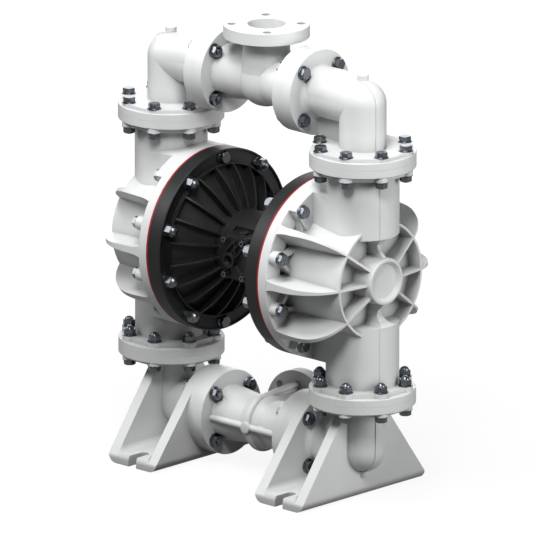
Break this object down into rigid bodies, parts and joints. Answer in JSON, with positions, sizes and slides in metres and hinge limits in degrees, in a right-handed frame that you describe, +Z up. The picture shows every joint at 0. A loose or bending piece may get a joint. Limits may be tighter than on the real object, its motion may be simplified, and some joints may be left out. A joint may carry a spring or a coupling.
{
  "type": "air operated double diaphragm pump",
  "caption": "Plastic air driven pump: two drum chambers on upright columns, black air covers, flanged tee manifolds above and below, channel feet.",
  "frame": {"origin": "on the floor below the middle of the pump, halfway between the two columns and on the chamber axis in plan", "axes": "+X along the chamber axis toward the right column, +Y to the rear where the suction flange faces, +Z up toward the discharge flange"},
  "size_m": [0.818, 0.4094, 1.0175],
  "materials": {
    "white_polypropylene": "satin moulded polypropylene",
    "black_glass_filled_plastic": "satin glass filled polypropylene",
    "red_elastomer": "smooth elastomer",
    "black_rubber": "smooth rubber",
    "white_ptfe": "smooth PTFE",
    "dark_stainless": "stainless steel fasteners",
    "bright_stainless": "turned stainless steel",
    "acetal": "turned acetal",
    "grey_porous_plastic": "porous plastic muffler"
  },
  "bodies": {
    "casing": {"air_cover_left": "black_glass_filled_plastic", "air_cover_right": "black_glass_filled_plastic", "air_valve_body": "black_glass_filled_plastic", "air_valve_cover": "black_glass_filled_plastic", "center_block": "black_glass_filled_plastic", "clamp_bolts": "dark_stainless", "clamp_bolts_short": "dark_stainless", "clamp_nuts": "dark_stainless", "cover_screws": "dark_stainless", "discharge_elbow_left": "white_polypropylene", "discharge_elbow_right": "white_polypropylene", "discharge_tee": "white_polypropylene", "fluid_chamber_left": "white_polypropylene", "fluid_chamber_right": "white_polypropylene", "foot_elbow_left": "white_polypropylene", "foot_elbow_right": "white_polypropylene", "inlet_cage_left": "white_polypropylene", "inlet_cage_right": "white_polypropylene", "inlet_manifold_bolts": "dark_stainless", "inlet_seat_left": "white_polypropylene", "inlet_seat_right": "white_polypropylene", "inlet_tee": "white_polypropylene", "lower_joint_bolts": "dark_stainless", "lower_joint_nuts": "dark_stainless", "manifold_nuts": "dark_stainless", "manifold_seals": "white_ptfe", "muffler": "grey_porous_plastic", "outlet_cage_left": "white_polypropylene", "outlet_cage_right": "white_polypropylene", "outlet_manifold_bolts": "dark_stainless", "outlet_seat_left": "white_polypropylene", "outlet_seat_right": "white_polypropylene", "rod_bushing_left": "acetal", "rod_bushing_right": "acetal", "rod_seal_left": "black_rubber", "rod_seal_right": "black_rubber", "seat_seals": "white_ptfe", "upper_joint_bolts": "dark_stainless", "upper_joint_nuts": "dark_stainless", "valve_plug_bottom": "black_glass_filled_plastic", "valve_plug_top": "black_glass_filled_plastic", "valve_screws": "dark_stainless"},
    "rod_assembly": {"diaphragm_rod": "bright_stainless", "air_side_plate_left": "bright_stainless", "air_side_plate_right": "bright_stainless", "fluid_side_plate_left": "white_polypropylene", "fluid_side_plate_right": "white_polypropylene", "diaphragm_left": "red_elastomer", "diaphragm_right": "red_elastomer"},
    "spool": {"air_valve_spool": "acetal"},
    "inlet_ball_left_body": {"inlet_ball_left": "white_ptfe"},
    "inlet_ball_right_body": {"inlet_ball_right": "white_ptfe"},
    "outlet_ball_left_body": {"outlet_ball_left": "white_ptfe"},
    "outlet_ball_right_body": {"outlet_ball_right": "white_ptfe"},
    "pilot_pin_left_body": {"pilot_pin_left": "bright_stainless"},
    "pilot_pin_right_body": {"pilot_pin_right": "bright_stainless"}
  },
  "joints": [
    {"name": "rod_stroke", "type": "slide", "parent": "casing", "child": "rod_assembly", "axis": [1, 0, 0], "range_m": [-0.028, 0.028], "deforming": ["diaphragm_left", "diaphragm_right"]},
    {"name": "spool_shift", "type": "slide", "parent": "casing", "child": "spool", "axis": [0, 0, 1], "range_m": [0, 0.012]},
    {"name": "inlet_ball_left_lift", "type": "slide", "parent": "casing", "child": "inlet_ball_left_body", "axis": [0, 0, 1], "range_m": [0, 0.018]},
    {"name": "inlet_ball_right_lift", "type": "slide", "parent": "casing", "child": "inlet_ball_right_body", "axis": [0, 0, 1], "range_m": [0, 0.018]},
    {"name": "outlet_ball_left_lift", "type": "slide", "parent": "casing", "child": "outlet_ball_left_body", "axis": [0, 0, 1], "range_m": [0, 0.018]},
    {"name": "outlet_ball_right_lift", "type": "slide", "parent": "casing", "child": "outlet_ball_right_body", "axis": [0, 0, 1], "range_m": [0, 0.018]},
    {"name": "pilot_pin_left_press", "type": "slide", "parent": "casing", "child": "pilot_pin_left_body", "axis": [1, 0, 0], "range_m": [0, 0.006], "stiffness_N_per_m": 600},
    {"name": "pilot_pin_right_press", "type": "slide", "parent": "casing", "child": "pilot_pin_right_body", "axis": [-1, 0, 0], "range_m": [0, 0.006], "stiffness_N_per_m": 600}
  ]
}
